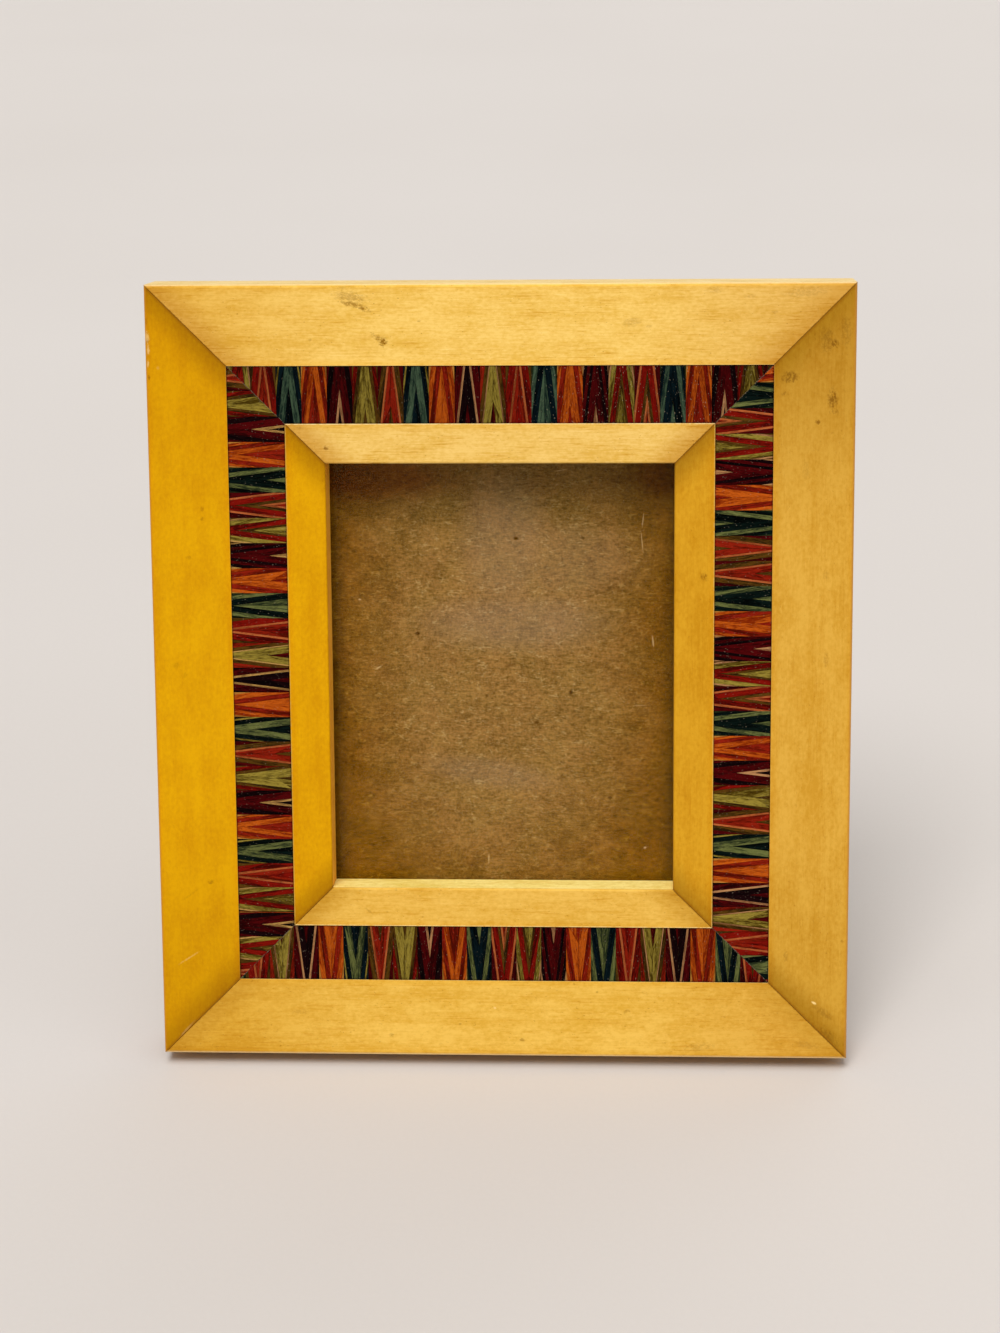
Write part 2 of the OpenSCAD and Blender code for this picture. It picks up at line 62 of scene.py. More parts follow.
low, high = upright_box(*MEMBERS)
ORIGIN = Vector((0, low.y, low.z))
FRAME_W, STOCK_T, FRAME_H = (high - low) / MM
band_low, band_high = upright_box("top_inlay_sage", "top_inlay_orange", "top_inlay_maroon")
STRIP_W = FRAME_H - (band_high - ORIGIN).z / MM
LIP_AT = FRAME_H - (band_low - ORIGIN).z / MM
BOARD_AT = (upright_box("filler_board")[0] - ORIGIN).y / MM
stile_low, stile_high = upright_box("left_stile")
MEMBER_W = (stile_high - stile_low).x / MM
print(f"leans {math.degrees(LEAN):.1f} degrees; {FRAME_W:.1f} x {FRAME_H:.1f} x {STOCK_T:.1f} mm")
print(f"inlay from {STRIP_W:.1f} to {LIP_AT:.1f} mm inside the edge; board {BOARD_AT:.1f} mm deep")

# %% [markdown]
# ## The camera
# A photograph's view can be found again by moving a camera until the corners of the frame fall
# where the photograph shows them. The long lens and the place below come from such a match: the
# camera stands about 0.8 m away, a little above the frame and to its right, and looks down on it.
# The picture is taken as 1000 by 1333 pixels, so a pixel can be followed back to a point on the
# frame. That is how marks in the wood get their places further down.

# %% Camera
scene = bpy.context.scene
PICTURE_W, PICTURE_H = 1000, 1333
SENSOR = 36
LENS = 79.83
CAMERA_AT = Vector((0.0415, -0.7583, 0.4194))
CAMERA_TURN = Euler([math.radians(angle) for angle in (67.605, 0.999, 2.797)])

camera = bpy.data.objects.new("camera", bpy.data.cameras.new("camera"))
scene.collection.objects.link(camera)
camera.location = CAMERA_AT
camera.rotation_euler = CAMERA_TURN
camera.data.lens = LENS
camera.data.sensor_width = SENSOR
scene.camera = camera
scene.view_settings.view_transform = "Standard"


def seen_at(pixel, depth=0):
    """Upright millimetres (across, up) where a pixel's line of sight meets a given depth."""
    focal = LENS / SENSOR * PICTURE_H
    ray = Vector(((pixel[0] - PICTURE_W / 2) / focal, (PICTURE_H / 2 - pixel[1]) / focal, -1))
    start = (TO_UPRIGHT @ CAMERA_AT - ORIGIN) / MM
    ray = TO_UPRIGHT.to_3x3() @ CAMERA_TURN.to_matrix() @ ray
    hit = start + ray * (depth - start.y) / ray.y
    return hit.x, hit.z


print("the middle of the picture is at %.0f, %.0f mm" % seen_at((PICTURE_W / 2, PICTURE_H / 2)))

# %% [markdown]
# ## Table and light
# The shadow that the top lip throws on the board is as tall as the lip is deep, with a soft edge.
# So the main light is broad, and it stands well above the frame, about 56 degrees up and a little
# to the left. A lamp near by would leave the far table dark, so a sun with a wide disc is used: it
# is as strong everywhere. Weaker ones fill in from the side, from straight above, where the pale
# ledge of the bottom rail catches it, and from behind. A bright surround does the rest. A sun's
# strength of pi shows a colour as it is written, which gives the powers.

# %% Table and light
TABLE_REACH = 12
SURROUND_POWER = 0.40
SURROUND_COLOUR = (1, 0.985, 0.965, 1)


def soft_light(name, share, disc, azimuth, height):
    """A sun over the frame. Share is its part of a full exposure, disc its width in degrees."""
    lamp = bpy.data.lights.new(name, "SUN")
    lamp.angle = math.radians(disc)
    lamp.energy = share * math.pi
    light = bpy.data.objects.new(name, lamp)
    scene.collection.objects.link(light)
    a, h = math.radians(azimuth), math.radians(height)
    away = Vector((math.sin(a) * math.cos(h), -math.cos(a) * math.cos(h), math.sin(h)))
    light.location = away
    light.rotation_euler = away.to_track_quat("Z", "Y").to_euler()


soft_light("key_light", 0.585, disc=28, azimuth=-12, height=56)
soft_light("fill_light", 0.10, disc=40, azimuth=60, height=25)
soft_light("top_light", 0.23, disc=36, azimuth=-20, height=78)
soft_light("back_light", 0.12, disc=50, azimuth=160, height=30)

world = bpy.data.worlds.new("surround")
scene.world = world
world.use_nodes = True
surround = world.node_tree.nodes["Background"]
surround.inputs["Color"].default_value = SURROUND_COLOUR
surround.inputs["Strength"].default_value = SURROUND_POWER

table_mesh = bpy.data.meshes.new("table")
table_mesh.from_pydata(
    [(x * TABLE_REACH, y * TABLE_REACH, 0) for x, y in ((-1, -1), (1, -1), (1, 1), (-1, 1))],
    [], [(0, 1, 2, 3)],
)
table = bpy.data.objects.new("table", table_mesh)
scene.collection.objects.link(table)
print("four soft lamps over a pale table")

# %% [markdown]
# ## Shader sums in plain Python
# A finish is a sum of small causes: fibres, bands of growth, blotches, marks. Wiring that by hand
# takes dozens of links. The class below wraps an output socket so that `1 - fibres * 0.3` adds the
# Math nodes by itself. Its one general method, node, adds any other node: settings first, then the
# values or wires of its sockets. Colours go through Mix and Vector Math, which keep all channels.

# %% The wire class
class Wire:
    """An output socket of a material's node, used in Python sums."""

    def __init__(self, tree, socket=None):
        self.tree = tree
        self.socket = socket

    def node(self, kind, settings=None, sockets=None, out=0):
        """Adds a node and returns one of its outputs."""
        made = self.tree.nodes.new(kind)
        for name, value in (settings or {}).items():
            setattr(made, name, value)
        for name, value in (sockets or {}).items():
            if isinstance(value, Wire):
                self.tree.links.new(value.socket, made.inputs[name])
            else:
                made.inputs[name].default_value = value
        return Wire(self.tree, made.outputs[out] if len(made.outputs) else None)

    def math(self, operation, *values):
        return self.node("ShaderNodeMath", {"operation": operation}, dict(enumerate(values)))

    def __add__(self, other):
        return self.math("ADD", self, other)

    def __sub__(self, other):
        return self.math("SUBTRACT", self, other)

    def __mul__(self, other):
        return self.math("MULTIPLY", self, other)

    def __radd__(self, other):
        return self.math("ADD", other, self)

    def __rsub__(self, other):
        return self.math("SUBTRACT", other, self)

    def __rmul__(self, other):
        return self.math("MULTIPLY", other, self)

    def __abs__(self):
        return self.math("ABSOLUTE", self)

    def root(self):
        return self.math("SQRT", self)

    def fraction(self):
        """What is left above the next lower whole number."""
        return self.math("FRACT", self)

    def larger(self, other):
        return self.math("MAXIMUM", self, other)

    def smaller(self, other):
        return self.math("MINIMUM", self, other)

    def beyond(self, limit):
        """1 where this is more than a limit, else 0."""
        return self.math("GREATER_THAN", self, limit)

    def step(self, start, end):
        """A soft step: 0 at start, 1 at end. It falls where end is the lower number."""
        return self.node(
            "ShaderNodeMapRange", {"interpolation_type": "SMOOTHSTEP"},
            {"Value": self, "From Min": start, "From Max": end},
        )

    def mix(self, under, over, blend="MIX"):
        """Lays one colour over another, as much as this mask says."""
        return self.node(
            "ShaderNodeMix", {"data_type": "RGBA", "blend_type": blend},
            {0: self, 6: under, 7: over}, 2,
        )

    def scaled(self, amount):
        """A colour or vector made longer or shorter by an amount that may vary."""
        return self.node("ShaderNodeVectorMath", {"operation": "SCALE"}, {0: self, "Scale": amount})

    def parted(self):
        """The three numbers of a vector."""
        first = self.node("ShaderNodeSeparateXYZ", {}, {0: self})
        return [Wire(self.tree, output) for output in first.socket.node.outputs]

    def noise(self, size, detail=2, rough=0.5, seed=0.0):
        """Cloudy noise whose blobs have the given size, (x, y, z) in millimetres."""
        cells = self.node("ShaderNodeVectorMath", {"operation": "DIVIDE"}, {0: self, 1: size})
        return self.node(
            "ShaderNodeTexNoise", {"noise_dimensions": "4D"},
            {"Vector": cells, "W": seed, "Scale": 1, "Detail": detail, "Roughness": rough},
        )


def srgb(text):
    """A colour written as on the screen, turned into the linear numbers that a shader takes."""
    parts = [int(text[i:i + 2], 16) / 255 for i in (1, 3, 5)]
    return tuple(p / 12.92 if p < 0.04045 else ((p + 0.055) / 1.055) ** 2.4 for p in parts) + (1,)


print("wires ready")

# %% [markdown]
# ## From nodes to a finish
# Every finish ends the same way: a colour, a roughness and a height feed one Principled shader.
# The height goes through a Bump node, whose distance is the real depth of the relief, so pores are
# hundredths of a millimetre deep and don't turn into trenches. What is the same all over, such as
# the tint of the gloss, is set on the shader's own socket.

# %% New material, and its ending
def new_finish(name):
    """An empty material, and a wire to start from."""
    material = bpy.data.materials.new(name)
    material.use_nodes = True
    material.node_tree.nodes.clear()
    return material, Wire(material.node_tree)


def upright_point(start):
    """Upright millimetres of the shaded point: across, back from the face, up."""
    at_rest = start.node("ShaderNodeTexCoord", out="Object")
    return start.node("ShaderNodeMapping", {}, {
        "Vector": at_rest, "Location": -ORIGIN / MM,
        "Rotation": (LEAN, 0, 0), "Scale": (1 / MM,) * 3,
    })


def grain_point(start, along, edge, depth):
    """A vector that runs along the grain in x, across it in y and into the wood in z."""
    return start.node("ShaderNodeCombineXYZ", {}, {0: along, 1: edge, 2: depth})


def end_finish(start, colour, rough, height, relief, **constants):
    """Feeds the Principled shader. Relief is the depth of the height's full swing, in mm."""
    bump = start.node("ShaderNodeBump", {}, {"Height": height, "Distance": relief * MM})
    sockets = {"Base Color": colour, "Roughness": rough, "Normal": bump}
    sockets.update({name.replace("_", " "): value for name, value in constants.items()})
    shader = start.node("ShaderNodeBsdfPrincipled", {}, sockets)
    start.node("ShaderNodeOutputMaterial", {}, {"Surface": shader})
    return shader


def dress(material, *names):
    """Gives solid nodes a finish."""
    for name in names:
        for place in frame["nodes"][name].material_slots:
            place.material = material


print("endings ready")

# %% [markdown]
# ## The pale table
# The table is matt paper. A single flat colour would do, but it looks like no surface at all. Two
# close tones of warm grey, with a broad cloud and a fine speckle between them, are enough.

# %% The table's finish
TABLE_TONES = (srgb("#D2CCC7"), srgb("#CBC4BE"))


def table_finish():
    """Matt paper in two close tones."""
    material, start = new_finish("pale_table")
    place = start.node("ShaderNodeTexCoord", out="Object").scaled(1 / MM)
    speckle = place.noise((1.5, 1.5, 1.5), detail=3)
    cloud = place.noise((260, 260, 260))
    colour = (0.3 * speckle + 0.7 * cloud).mix(*TABLE_TONES)
    end_finish(start, colour, 0.75 + 0.1 * speckle, speckle, relief=0.03)
    return material


table.data.materials.append(table_finish())
print("table finished")

# %% [markdown]
# ## Marks of use
# A frame that has been handled has scuffs, dark spots and a few chips in its stain. Each mark is an
# oval mask with a ragged rim, placed by the pixel where the photograph shows it. Painting them as
# one big random pattern would be quicker, but then none of them would sit where it belongs.

# %% One mark as a mask
# A rim of (1.3, 0.4) means that a mark starts at 1.3 times its half length and is full at 0.4.
MARK_RIM = (1.3, 0.4)


def mark(across, up, ragged, pixel, size, turn, depth):
    """1 in the middle of an oval mark and 0 outside. Size is (length, width), turn in degrees."""
    x, z = seen_at(pixel, depth)
    cos_turn, sin_turn = math.cos(math.radians(turn)), math.sin(math.radians(turn))
    dx = across - x
    dz = up - z
    lengthwise = (dx * cos_turn + dz * sin_turn) * (2 / size[0])
    crosswise = (dz * cos_turn - dx * sin_turn) * (2 / size[1])
    reach = (lengthwise * lengthwise + crosswise * crosswise).root()
    return (reach + ragged).step(*MARK_RIM)


def all_marks(across, up, ragged, marks, depth=0):
    """One mask for a list of marks: (pixel, size, turn, strength) each."""
    total = None
    for pixel, size, turn, strength in marks:
        one = mark(across, up, ragged, pixel, size, turn, depth) * strength
        total = one if total is None else total.larger(one)
    return total


print("marks fade over", round(MARK_RIM[0] - MARK_RIM[1], 1), "of their half length")

# %% [markdown]
# ## The stained wood
# The four members are one wood with one golden stain. Their tones differ by painted sheen, the
# light that each catches along its grain: the top rail is pale straw, the left stile deep amber,
# the right stile ochre and the bottom rail gold. Each turns darker towards its mitres. So one
# function makes all four, from a short list of colours per side.
# The grain is noise stretched along the member: coarse for growth bands, finer for fibres, and very
# short for the flecks that this wood shows when it is cut along its rays.

# %% Colours of the four members
# Middle and ends are the colours along the member, and lip is its inner strip. The colours differ
# from side to side by painted sheen. Side is the outer side, with painted light and shade: palest
# on the top rail, whose top faces the light. Wall is the shoulder that faces the glass, painted lit
# or shaded: dark under the top rail, pale elsewhere and palest on the bottom rail's ledge. Arris is
# the rubbed outer edge with painted light and shade, pale on the rails and darker on the stiles, and
# groove a painted highlight along the edges of the groove beside the inlay. Lines says how far the
# long fibres show, seam how many millimetres of dirt lie beside the mitre, and worn how many
# millimetres of the edge are rubbed and painted pale.
WOODS = {
    "top_rail": {
        "middle": "#F6CC6E", "ends": ("#E6B552", "#E4B45C"), "mitre": "#D09A40", "lip": "#F0C66E",
        "side": "#F8E0AE", "arris": "#F4D69A", "groove": "#FBE2A6", "wall": "#A8752A",
        "lines": 1.1, "seam": 0.5, "worn": 0.5,
    },
    "right_stile": {
        "middle": "#DCA842", "ends": ("#CE9B36", "#BA8729"), "mitre": "#A67616", "lip": "#D69C22",
        "side": "#C08C46", "arris": "#C88A3A", "groove": "#D9B060", "wall": "#D9A640",
        "lines": 0.4, "seam": 1.5, "worn": 0.9,
    },
    "bottom_rail": {
        "middle": "#EDBE56", "ends": ("#D9A436", "#DAA440"), "mitre": "#CC9834", "lip": "#EABA56",
        "side": "#E0B05A", "arris": "#FFE7B0", "groove": "#FADB94", "wall": "#FFEA90",
        "lines": 0.7, "seam": 0.5, "worn": 0.9,
    },
    "left_stile": {
        "middle": "#DFA302", "ends": ("#CE9300", "#D49600"), "mitre": "#A87200", "lip": "#DFA202",
        "side": "#B8761A", "arris": "#D28A10", "groove": "#C9A04C", "wall": "#F7B33F",
        "lines": 0.2, "seam": 1.5, "worn": 0.9,
    },
}
print(len(WOODS), "sides with", len(WOODS["top_rail"]), "entries each")

# %% Marks on the four members
# Each mark is (pixel, (length, width) in mm, turn in degrees, strength). Chips are pale bare wood.
SCUFFS = {
    "top_rail": [
        ((350, 297), (9, 3), -8, 0.5), ((364, 309), (4, 1.3), -20, 0.8),
        ((352, 304), (7, 1.6), -12, 0.75), ((383, 342), (2.6, 2.2), 40, 1.0),
        ((379, 339), (5, 1.6), -35, 0.65), ((632, 322), (5, 2.4), 10, 0.3),
        ((419, 321), (1, 0.7), 0, 0.5), ((326, 448), (1.5, 1.2), 0, 0.9),
        ((310, 340), (1.1, 0.8), 0, 0.3), ((806, 292), (12, 3), 6, 0.25),
        ((649, 326), (1.6, 0.8), 0, 0.3), ((715, 290), (5, 1.8), 0, 0.25),
        ((300, 428), (2, 0.8), 0, 0.35), ((345, 287), (6, 1.2), 0, 0.3),
        ((750, 296), (3, 1.2), 0, 0.25), ((775, 312), (2, 1), 0, 0.25),
    ],
    "right_stile": [
        ((827, 340), (3.5, 7), 0, 0.4), ((835, 343), (2.2, 2.4), 0, 0.75),
        ((790, 377), (4.5, 3), 15, 0.75), ((833, 400), (2.6, 6), 0, 0.75),
        ((818, 422), (1.5, 1.3), 0, 0.8), ((815, 310), (1.6, 6), 0, 0.3), ((837, 412), (1.1, 2), 0, 0.5),
        ((785, 394), (2, 1.4), 0, 0.4), ((704, 577), (2.2, 2.6), 0, 0.6),
        ((826, 576), (1.6, 3), 0, 0.3), ((826, 660), (1.4, 4), 0, 0.3),
        ((786, 956), (1.4, 3), 0, 0.35), ((842, 941), (0.9, 0.9), 0, 0.45),
        ((823, 1012), (7, 2.2), -40, 0.3), ((828, 1036), (7, 3), -45, 0.35),
        ((806, 470), (2, 6), 0, 0.2), ((846, 332), (3, 8), 0, 0.3),
    ],
    "bottom_rail": [
        ((522, 1040), (1.6, 1), 0, 0.5), ((392, 1035), (1.4, 1), 0, 0.45),
        ((460, 1024), (1, 0.8), 0, 0.4), ((627, 1011), (2.2, 1), 30, 0.45),
        ((645, 993), (1.6, 1), -20, 0.3), ((369, 911), (3, 0.7), -40, 0.3),
        ((396, 890), (1.2, 0.8), 0, 0.35), ((700, 1047), (9, 2.4), 5, 0.25),
        ((300, 1012), (5, 1.6), 0, 0.2), ((404, 881), (1.6, 0.7), 0, 0.4),
        ((806, 1045), (8, 2), -10, 0.25), ((597, 992), (0.9, 0.7), 0, 0.5),
    ],
    "left_stile": [
        ((202, 509), (1.2, 1.6), 0, 0.4), ((202, 519), (1, 1.1), 0, 0.4),
        ((189, 558), (1.8, 1.2), 0, 0.3), ((176, 665), (2.2, 1.8), 0, 0.25),
        ((185, 675), (1.2, 1.8), 0, 0.25), ((211, 882), (1.8, 1.2), 20, 0.55),
        ((147, 341), (0.8, 1.6), 0, 0.8), ((149, 377), (0.8, 1.6), 0, 0.7),
        ((146, 322), (0.8, 2.6), 0, 0.5),
        ((190, 895), (5, 0.6), 35, 0.2), ((153, 1046), (2.4, 1.6), 0, 0.5),
    ],
}
CHIPS = {
    "top_rail": [((149, 284), (2.4, 0.5), 0, 0.8)],
    "right_stile": [((814, 1003), (1.4, 0.7), -25, 0.8)],
    "bottom_rail": [((495, 1008), (0.8, 0.5), 0, 0.5), ((205, 972), (1, 0.6), 0, 0.5)],
    "left_stile": [
        ((189, 958), (6, 0.5), 33, 0.2), ((147, 338), (1.2, 3.2), 0, 0.4),
        ((148, 350), (0.9, 2.4), 0, 0.4), ((148, 364), (0.6, 2), 0, 0.4),
        ((158, 368), (0.8, 1.0), 0, 0.1), ((187, 1029), (6, 0.5), 48, 0.14),
    ],
}
print(sum(map(len, SCUFFS.values())), "scuffs and", sum(map(len, CHIPS.values())), "chips")

# %% The stain, with painted light and shade on side and wall, without any grain
MITRE_REACH = 12
EDGE_SOFT = 0.3


def laid_along(name, across, up):
    """How far a point lies along a member, how far in from its outer edge, and its length."""
    if name.endswith("stile"):
        outer = across + FRAME_W / 2 if name == "left_stile" else FRAME_W / 2 - across
        return up, outer, FRAME_H
    outer = up if name == "bottom_rail" else FRAME_H - up
    return across + FRAME_W / 2, outer, FRAME_W


def stain(look, along, edge, length, back, blotches):
    """Colour by place, lip and mitres, and painted light and shade on side and wall. Also the mitre's
    distance.
    """
    turned = (along - length / 2) * (2 / length)
    start_colour, end_colour = look["ends"]
    colour = turned.step(-0.3, -0.95).mix(srgb(look["middle"]), srgb(start_colour))
    colour = turned.step(0.3, 0.95).mix(colour, srgb(end_colour))
    colour = edge.step(LIP_AT - 1, LIP_AT).mix(colour, srgb(look["lip"]))
    to_mitre = (along - edge).smaller((length - along) - edge)
    near_mitre = (to_mitre + 6 * (blotches - 0.5)).step(MITRE_REACH, 0)
    colour = (0.85 * near_mitre).mix(colour, srgb(look["mitre"]))
    # Painted light and shade on the outer side: palest on the top rail's top, which faces the light.
    by_back = back.step(STOCK_T - 2 * EDGE_SOFT, STOCK_T - EDGE_SOFT)
    by_side = edge.step(EDGE_SOFT, 0).larger(by_back) * back.step(0.8, 1.1)
    colour = by_side.mix(colour, srgb(look["side"]))
    # Painted light and shade on the shoulder that faces the glass: dark under the top rail, palest on
    # the ledge.
    by_wall = edge.step(MEMBER_W - EDGE_SOFT, MEMBER_W) * back.step(0.4, 0.8)
    colour = by_wall.mix(colour, srgb(look["wall"]))
    return colour, to_mitre


print("the stain darkens over the last", MITRE_REACH, "mm before a mitre")

# %% [markdown]
# ## Grain, wear, painted highlights and bare wood
# Over the plain stain come the grain and then the wear, in the order in which they came on the real
# frame: grain, scuffs, dirt in the mitres, rubbed edges and chips. With the wear come painted
# highlights along the groove's edges and on the rubbed arris. The back was never stained, only
# spilt on along its edge. Stains multiply what lies under them, so the grain stays in sight through
# them, and bare wood covers it.

# %% Grain
from types import SimpleNamespace

GRAIN_STAIN = (0.84, 0.75, 0.45, 1)
DASH_STAIN = (0.82, 0.70, 0.42, 1)
PALE_DASH = (1.06, 1.10, 1.30, 1)
PORE_STAIN = (0.50, 0.36, 0.12, 1)
RIM_STAIN = (0.96, 0.86, 0.50, 1)
MOST_LINES = 1.1


def wood_noises(grain, seed):
    """The noises that grain and wear are made of. Sizes are along, across and into the wood."""
    return SimpleNamespace(
        fibres=grain.noise((16, 0.4, 0.6), detail=3, rough=0.6, seed=seed),
        flecks=grain.noise((3.2, 0.55, 0.8), detail=4, rough=0.7, seed=seed + 3),
        mottle=grain.noise((1.3, 0.9, 1.2), detail=3, rough=0.6, seed=seed + 8),
        growth=grain.noise((150, 3.5, 6), seed=seed),
        blotches=grain.noise((14, 6, 9), detail=3, seed=seed),
        dashes=grain.noise((11, 0.4, 0.7), detail=3, rough=0.6, seed=seed + 11),
        ragged=grain.noise((0.9, 0.6, 0.7), detail=3, rough=0.7, seed=seed) - 0.5,
        pores=grain.noise((0.75, 0.45, 0.5), detail=1, seed=seed).step(0.67, 0.74),
        crumbs=grain.noise((1.1, 0.6, 0.7), detail=4, rough=0.75, seed=seed + 5),
    )


def with_grain(colour, look, edge, wood):
    """Lays fibres, flecks, dashes and pores over the stain, and darkens the rims of the face."""
    lines = (look["lines"] + 0.8 * edge.step(EDGE_SOFT, 0)).smaller(MOST_LINES)
    tone = lines * (wood.fibres - 0.5) + (0.6 + 1.6 * lines) * (wood.flecks - 0.5)
    tone = tone + 2.0 * (wood.mottle - 0.5) + 1.9 * (wood.blotches - 0.5) + 1.1 * (wood.growth - 0.5)
    colour = (0.42 + tone).mix(colour, GRAIN_STAIN, "MULTIPLY")
    uneven = wood.blotches.step(0.35, 0.62)
    colour = (lines * wood.dashes.step(0.55, 0.66) * uneven).mix(colour, DASH_STAIN, "MULTIPLY")
    pale = lines * wood.dashes.step(0.44, 0.32) * (1 - 0.6 * uneven)
    colour = pale.mix(colour, PALE_DASH, "MULTIPLY")
    colour = (lines * wood.pores * (0.2 + 0.5 * uneven)).mix(colour, PORE_STAIN, "MULTIPLY")
    to_rim = edge.smaller(abs(edge - 0.5 * (STRIP_W + LIP_AT)) - 0.5 * (LIP_AT - STRIP_W))
    return (0.6 * (to_rim + 2 * wood.ragged).step(2.4, 0.2)).mix(colour, RIM_STAIN, "MULTIPLY")


print("grain ready")

# %% Wear and painted highlights on the face
SCUFF_STAIN = (0.30, 0.19, 0.0, 1)
GRIME = srgb("#8A5206")
CHIP_COLOUR = srgb("#FFDE94")
GROOVE_LINE = 0.35


def with_wear_and_highlights(colour, name, across, up, edge, back, to_mitre, wood):
    """Lays scuffs, dirt, painted highlights on groove and rubbed edges, and chips. Also the mask of
    scuffs.
    """
    look = WOODS[name]
    face = back.step(1.0, 0.4)
    scuffed = all_marks(across, up, 2.2 * wood.ragged, SCUFFS[name])
    scuffed = scuffed * wood.crumbs.step(0.36, 0.56) * face
    colour = scuffed.mix(colour, SCUFF_STAIN, "MULTIPLY")
    grime = (abs(to_mitre) + wood.ragged).step(look["seam"], 0) * face
    colour = (0.7 * grime).mix(colour, GRIME)

    # Painted highlight: a broken pale line along both edges of the groove, where they catch the light.
    broken = (wood.ragged + 0.5).step(0.3, 0.6)
    to_groove = (abs(edge - STRIP_W) + 0.2).smaller(abs(edge - LIP_AT))
    by_groove = to_groove.step(GROOVE_LINE, 0.5 * GROOVE_LINE)
    colour = (0.75 * by_groove * face * broken).mix(colour, srgb(look["groove"]))
    # The rubbed arris with painted light and shade on it: pale on the rails, darker on the stiles.
    worn = edge.step(look["worn"], 0.15) * back.step(1.4, 0.6) * (0.65 + 0.35 * broken)
    colour = (0.8 * worn).mix(colour, srgb(look["arris"]))
    chipped = all_marks(across, up, 2.5 * wood.ragged, CHIPS[name]) * face
    return chipped.mix(colour, CHIP_COLOUR), scuffed


print("wear ready")

# %% The bare back
BARE_WOOD = (srgb("#E2C394"), srgb("#B98E58"))
BARE_DASH = (0.74, 0.64, 0.50, 1)
BACK_STAIN_EDGE = 0.25


def with_bare_back(colour, edge, back, wood):
    """Lays unstained wood over the back, with stain spilt along its edge. Also the mask of it."""
    bare = (back + 1.5 * wood.ragged).step(STOCK_T - 2 * BACK_STAIN_EDGE, STOCK_T - BACK_STAIN_EDGE)
    spilt = (edge + 8 * (wood.blotches - 0.5) + 2 * wood.ragged).step(4.0, 2.6)
    tone = 0.5 + 2.2 * (wood.growth - 0.5) + 1.8 * (wood.fibres - 0.5) + 1.2 * (wood.blotches - 0.5)
    bare_colour = (0.7 * wood.dashes.step(0.52, 0.66)).mix(tone.mix(*BARE_WOOD), BARE_DASH, "MULTIPLY")
    return (bare * (1 - 0.65 * spilt)).mix(colour, bare_colour), bare


print("the stain ends", BACK_STAIN_EDGE, "to", 2 * BACK_STAIN_EDGE, "mm before the back")

# %% The four members
WOOD_GLOSS = {"Specular_IOR_Level": 0.3, "Specular_Tint": (1, 0.75, 0.15, 1)}
MEMBER_SEED = 7.3


def stained_wood(name):
    """The finish of one member, from the stain up."""
    material, start = new_finish(name + "_wood")
    across, back, up = upright_point(start).parted()
    along, edge, length = laid_along(name, across, up)
    grain = grain_point(start, along, edge, back)
    wood = wood_noises(grain, MEMBER_SEED * MEMBERS.index(name))

    colour, to_mitre = stain(WOODS[name], along, edge, length, back, wood.blotches)
    colour = with_grain(colour, WOODS[name], edge, wood)
    colour, scuffed = with_wear_and_highlights(colour, name, across, up, edge, back, to_mitre, wood)
    colour, bare = with_bare_back(colour, edge, back, wood)
    by_wall = edge.step(MEMBER_W - EDGE_SOFT, MEMBER_W)
    rough = 0.5 + 0.2 * (wood.fibres - 0.5) + 0.2 * scuffed + 0.25 * bare + 0.4 * by_wall
    height = wood.fibres + 0.5 * wood.flecks - 1.5 * wood.pores - 0.4 * scuffed
    end_finish(start, colour, rough, height, relief=0.02, **WOOD_GLOSS)
    return material


for name in MEMBERS:
    dress(stained_wood(name), name)
print("four members stained")

# %% [markdown]
# ## Where a point lies in the zigzag
# The band repeats five colour units, and each unit is two mirrored halves whose slivers lean towards
# its middle. To make the fibres lean with their sliver, the shader has to know where a point lies in
# its unit. That is a sum: take the place of one orange unit from the point's own place, and the
# fraction of a unit that is left says how far the middle is. The same sum over five units tells
# which colour unit it is, and a black sliver looks teal in a green unit and wine red in a maroon one.

# %% Place in the zigzag
# Each strip: its start along the band, the place of an orange unit, the order of the colours, and
# whether the points face the outer edge. Bands run clockwise.
UNIT_LEN = 6.89
SLANT = 1.95
KINDS = ("orange", "maroon", "olive", "scarlet", "sage")
STRIPS = {
    "top": [(0, 23.7, 1, True)],
    "right": [(0, 35.7, -1, True), (52.9, 70.1, 1, False)],
    "bottom": [(0, 18.1, 1, True)],
    "left": [(0, -11.9, -1, True), (19.3, 43.6, 1, True)],
}
INLAY_W = LIP_AT - STRIP_W
BAND_LEN = {
    "top": FRAME_W - 2 * STRIP_W, "right": FRAME_H - 2 * STRIP_W,
    "bottom": FRAME_W - 2 * STRIP_W, "left": FRAME_H - 2 * STRIP_W,
}


def clockwise(band, across, up):
    """How far a point lies along a band, clockwise from its start."""
    return {
        "top": across + (FRAME_W / 2 - STRIP_W), "right": (FRAME_H - STRIP_W) - up,
        "bottom": (FRAME_W / 2 - STRIP_W) - across, "left": up - STRIP_W,
    }[band]


def zigzag_place(band, along, inward):
    """How far a point lies across its sliver, and its turn from 0 to 1 through the five units."""
    place = turn = None
    for first, orange_at, order, points_out in STRIPS[band]:
        units = (along - orange_at) * (1 / UNIT_LEN)
        from_middle = abs((units + 0.5).fraction() - 0.5) * UNIT_LEN
        lean = inward if points_out else INLAY_W - inward
        here = from_middle - lean * (SLANT / INLAY_W)
        here_turn = (units * (order / len(KINDS)) + 0.5 / len(KINDS)).fraction()
        if place is None:
            place, turn = here, here_turn
        else:
            second = along.beyond(first)
            place = place + second * (here - place)
            turn = turn + second * (here_turn - turn)
    return place, turn


def in_unit(turn, kind):
    """1 inside the units of one colour, else 0."""
    share = 1 / len(KINDS)
    first = KINDS.index(kind) * share
    return turn.beyond(first) * (1 - turn.beyond(first + share))


print(len(KINDS), "colour units repeat every", UNIT_LEN * len(KINDS), "mm")
